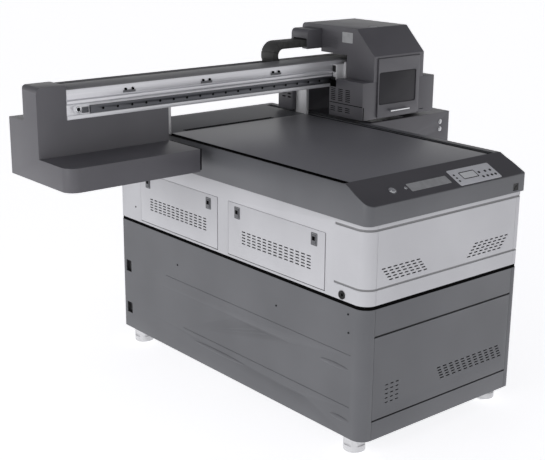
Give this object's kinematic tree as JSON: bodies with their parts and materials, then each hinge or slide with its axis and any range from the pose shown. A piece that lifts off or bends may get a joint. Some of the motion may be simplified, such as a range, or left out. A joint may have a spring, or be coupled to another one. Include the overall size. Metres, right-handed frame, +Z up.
{
  "type": "flatbed uv printer",
  "caption": "Flatbed UV printer: a cabinet with a lifting vacuum bed, a gantry that runs along the bed, and a hooded print carriage that runs across the gantry beam.",
  "frame": {"origin": "on the floor, under the middle of the whole machine's length and depth at rest", "axes": "+X along the gantry beam towards the parked carriage, +Y from the console to the back, +Z up"},
  "size_m": [1.865, 1.426, 1.297],
  "materials": {
    "frame_paint": "matt powder coat",
    "cabinet_grey": "satin powder coat",
    "body_white": "satin powder coat",
    "deck_grey": "fine-textured satin paint",
    "bed_anodised": "dark satin anodised",
    "bright_steel": "ground",
    "cast_alloy": "cast",
    "upright_alloy": "satin",
    "beam_alloy": "satin anodised extrusion",
    "rail_steel": "blackened steel",
    "cover_dark": "satin powder coat",
    "hood_grey": "fine-textured satin paint",
    "belt_rubber": "moulded",
    "motor_black": "satin",
    "button_white": "gloss",
    "cap_plastic": "moulded",
    "head_black": "moulded",
    "smoked_glass": "smoked acrylic",
    "handle_chrome": "polished",
    "chain_plastic": "moulded nylon",
    "button_steel": "satin",
    "latch_black": "moulded",
    "castor_white": "moulded",
    "wheel_nylon": "moulded nylon",
    "pad_rubber": "moulded"
  },
  "bodies": {
    "base": {"base_frame": "frame_paint", "lower_cabinet_shell": "cabinet_grey", "lower_front_panel": "cabinet_grey", "upper_body_shell": "body_white", "upper_front_panel": "body_white", "deck_cover": "deck_grey", "bed_lift_jacks": "bright_steel", "bed_side_guides": "bright_steel", "electronics_box": "frame_paint", "door_hinge_pins": "bright_steel"},
    "bed": {"bed_table": "bed_anodised", "bed_lift_rods": "bright_steel", "vacuum_blower": "cast_alloy"},
    "gantry": {"gantry_uprights": "upright_alloy", "gantry_blocks": "bright_steel", "gantry_beam": "beam_alloy", "beam_rail": "rail_steel", "chain_tray": "cover_dark", "carriage_belt": "belt_rubber", "carriage_motor": "motor_black", "left_end_housing": "cover_dark", "right_end_housing": "cover_dark"},
    "carriage": {"carriage_plate": "beam_alloy", "carriage_trucks": "bright_steel", "carriage_hood": "hood_grey", "lamp_housings": "hood_grey", "uv_lamps": "motor_black", "print_heads": "head_black", "chain_arm_box": "hood_grey", "chain_upper_run": "chain_plastic"},
    "chain": {"chain_bend": "chain_plastic"},
    "hatch": {"hatch": "hood_grey", "hatch_window": "smoked_glass", "hatch_handle": "handle_chrome"},
    "left_drive_screw": {"left_drive_screw": "bright_steel"},
    "right_drive_screw": {"right_drive_screw": "bright_steel"},
    "belt_idler_pulley": {"belt_idler_pulley": "bright_steel"},
    "belt_drive_pulley": {"belt_drive_pulley": "bright_steel"},
    "front_service_door": {"front_service_door": "body_white"},
    "rear_service_door": {"rear_service_door": "body_white"},
    "start_button": {"start_button": "button_steel"},
    "upper_push_button": {"upper_push_button": "button_white"},
    "lower_push_button": {"lower_push_button": "button_white"},
    "capping_station": {"capping_station": "cap_plastic"},
    "front_door_front_latch": {"front_door_front_latch": "latch_black"},
    "front_door_rear_latch": {"front_door_rear_latch": "latch_black"},
    "rear_door_front_latch": {"rear_door_front_latch": "latch_black"},
    "rear_door_rear_latch": {"rear_door_rear_latch": "latch_black"},
    "castor_front_left": {"castor_front_left": "castor_white"},
    "castor_wheels_front_left": {"castor_wheels_front_left": "wheel_nylon"},
    "levelling_pad_front_left": {"levelling_pad_front_left": "pad_rubber"},
    "castor_front_right": {"castor_front_right": "castor_white"},
    "castor_wheels_front_right": {"castor_wheels_front_right": "wheel_nylon"},
    "levelling_pad_front_right": {"levelling_pad_front_right": "pad_rubber"},
    "castor_rear_left": {"castor_rear_left": "castor_white"},
    "castor_wheels_rear_left": {"castor_wheels_rear_left": "wheel_nylon"},
    "levelling_pad_rear_left": {"levelling_pad_rear_left": "pad_rubber"},
    "castor_rear_right": {"castor_rear_right": "castor_white"},
    "castor_wheels_rear_right": {"castor_wheels_rear_right": "wheel_nylon"},
    "levelling_pad_rear_right": {"levelling_pad_rear_right": "pad_rubber"}
  },
  "joints": [
    {"name": "bed_lift", "type": "slide", "parent": "base", "child": "bed", "axis": [0, 0, 1], "range_m": [-0.08, 0]},
    {"name": "gantry_travel", "type": "slide", "parent": "base", "child": "gantry", "axis": [0, 1, 0], "range_m": [-0.74, 0.16]},
    {"name": "carriage_travel", "type": "slide", "parent": "gantry", "child": "carriage", "axis": [1, 0, 0], "range_m": [-0.93, 0], "deforming": ["chain_upper_run"]},
    {"name": "chain_roll", "type": "slide", "parent": "gantry", "child": "chain", "axis": [1, 0, 0], "range_m": [-0.465, 0]},
    {"name": "left_screw_turn", "type": "hinge", "parent": "base", "child": "left_drive_screw", "pos_m": [-0.2665, 0.003, 0.772], "axis": [0, 1, 0], "range_deg": [-13330, 2890]},
    {"name": "right_screw_turn", "type": "hinge", "parent": "base", "child": "right_drive_screw", "pos_m": [0.3335, 0.003, 0.772], "axis": [0, 1, 0], "range_deg": [-13330, 2890]},
    {"name": "idler_pulley_turn", "type": "hinge", "parent": "gantry", "child": "belt_idler_pulley", "pos_m": [-0.7745, 0.2905, 1.092], "axis": [0, 1, 0], "range_deg": [-3556, 0]},
    {"name": "drive_pulley_turn", "type": "hinge", "parent": "gantry", "child": "belt_drive_pulley", "pos_m": [0.8215, 0.2905, 1.092], "axis": [0, 1, 0], "range_deg": [-3556, 0]},
    {"name": "hatch_hinge", "type": "hinge", "parent": "carriage", "child": "hatch", "pos_m": [0.603, 0.07, 1.183], "axis": [-1, 0, 0], "range_deg": [0, 95]},
    {"name": "front_door_hinge", "type": "hinge", "parent": "base", "child": "front_service_door", "pos_m": [-0.3235, -0.255, 0.556], "axis": [0, -1, 0], "range_deg": [0, 85]},
    {"name": "rear_door_hinge", "type": "hinge", "parent": "base", "child": "rear_service_door", "pos_m": [-0.3235, 0.319, 0.556], "axis": [0, -1, 0], "range_deg": [0, 85]},
    {"name": "front_door_front_latch_lift", "type": "hinge", "parent": "front_service_door", "child": "front_door_front_latch", "pos_m": [-0.33, -0.46, 0.733], "axis": [0, 1, 0], "range_deg": [0, 45], "stiffness_Nm_per_rad": 0.05, "springref_deg": -5.73},
    {"name": "front_door_rear_latch_lift", "type": "hinge", "parent": "front_service_door", "child": "front_door_rear_latch", "pos_m": [-0.33, -0.05, 0.733], "axis": [0, 1, 0], "range_deg": [0, 45], "stiffness_Nm_per_rad": 0.05, "springref_deg": -5.73},
    {"name": "rear_door_front_latch_lift", "type": "hinge", "parent": "rear_service_door", "child": "rear_door_front_latch", "pos_m": [-0.33, 0.121, 0.733], "axis": [0, 1, 0], "range_deg": [0, 45], "stiffness_Nm_per_rad": 0.05, "springref_deg": -5.73},
    {"name": "rear_door_rear_latch_lift", "type": "hinge", "parent": "rear_service_door", "child": "rear_door_rear_latch", "pos_m": [-0.33, 0.517, 0.733], "axis": [0, 1, 0], "range_deg": [0, 45], "stiffness_Nm_per_rad": 0.05, "springref_deg": -5.73},
    {"name": "castor_swivel_front_left", "type": "hinge", "parent": "base", "child": "castor_front_left", "pos_m": [-0.2835, -0.632, 0.03], "axis": [0, 0, 1], "continuous": true},
    {"name": "castor_roll_front_left", "type": "hinge", "parent": "castor_front_left", "child": "castor_wheels_front_left", "pos_m": [-0.2835, -0.632, 0.023], "axis": [1, 0, 0], "continuous": true},
    {"name": "pad_level_front_left", "type": "slide", "parent": "castor_front_left", "child": "levelling_pad_front_left", "axis": [0, 0, 1], "range_m": [-0.01, 0]},
    {"name": "castor_swivel_front_right", "type": "hinge", "parent": "base", "child": "castor_front_right", "pos_m": [0.3915, -0.632, 0.03], "axis": [0, 0, 1], "continuous": true},
    {"name": "castor_roll_front_right", "type": "hinge", "parent": "castor_front_right", "child": "castor_wheels_front_right", "pos_m": [0.3915, -0.632, 0.023], "axis": [1, 0, 0], "continuous": true},
    {"name": "pad_level_front_right", "type": "slide", "parent": "castor_front_right", "child": "levelling_pad_front_right", "axis": [0, 0, 1], "range_m": [-0.01, 0]},
    {"name": "castor_swivel_rear_left", "type": "hinge", "parent": "base", "child": "castor_rear_left", "pos_m": [-0.2835, 0.638, 0.03], "axis": [0, 0, 1], "continuous": true},
    {"name": "castor_roll_rear_left", "type": "hinge", "parent": "castor_rear_left", "child": "castor_wheels_rear_left", "pos_m": [-0.2835, 0.638, 0.023], "axis": [1, 0, 0], "continuous": true},
    {"name": "pad_level_rear_left", "type": "slide", "parent": "castor_rear_left", "child": "levelling_pad_rear_left", "axis": [0, 0, 1], "range_m": [-0.01, 0]},
    {"name": "castor_swivel_rear_right", "type": "hinge", "parent": "base", "child": "castor_rear_right", "pos_m": [0.3915, 0.638, 0.03], "axis": [0, 0, 1], "continuous": true},
    {"name": "castor_roll_rear_right", "type": "hinge", "parent": "castor_rear_right", "child": "castor_wheels_rear_right", "pos_m": [0.3915, 0.638, 0.023], "axis": [1, 0, 0], "continuous": true},
    {"name": "pad_level_rear_right", "type": "slide", "parent": "castor_rear_right", "child": "levelling_pad_rear_right", "axis": [0, 0, 1], "range_m": [-0.01, 0]},
    {"name": "start_press", "type": "slide", "parent": "base", "child": "start_button", "axis": [0, 0.4441, -0.896], "range_m": [0, 0.003], "stiffness_N_per_m": 400, "springref_m": -0.001},
    {"name": "upper_button_press", "type": "slide", "parent": "gantry", "child": "upper_push_button", "axis": [0, 1, 0], "range_m": [0, 0.003], "stiffness_N_per_m": 400, "springref_m": -0.001},
    {"name": "lower_button_press", "type": "slide", "parent": "gantry", "child": "lower_push_button", "axis": [0, 1, 0], "range_m": [0, 0.003], "stiffness_N_per_m": 400, "springref_m": -0.001},
    {"name": "capping_lift", "type": "slide", "parent": "gantry", "child": "capping_station", "axis": [0, 0, 1], "range_m": [0, 0.012]}
  ],
  "couplings": [
    {"joint": "chain_roll", "follows": "carriage_travel", "ratio": 0.5},
    {"joint": "left_screw_turn", "follows": "gantry_travel", "rad_per_m": 314.16},
    {"joint": "right_screw_turn", "follows": "gantry_travel", "rad_per_m": 314.16},
    {"joint": "idler_pulley_turn", "follows": "carriage_travel", "rad_per_m": 66.667},
    {"joint": "drive_pulley_turn", "follows": "carriage_travel", "rad_per_m": 66.667}
  ]
}
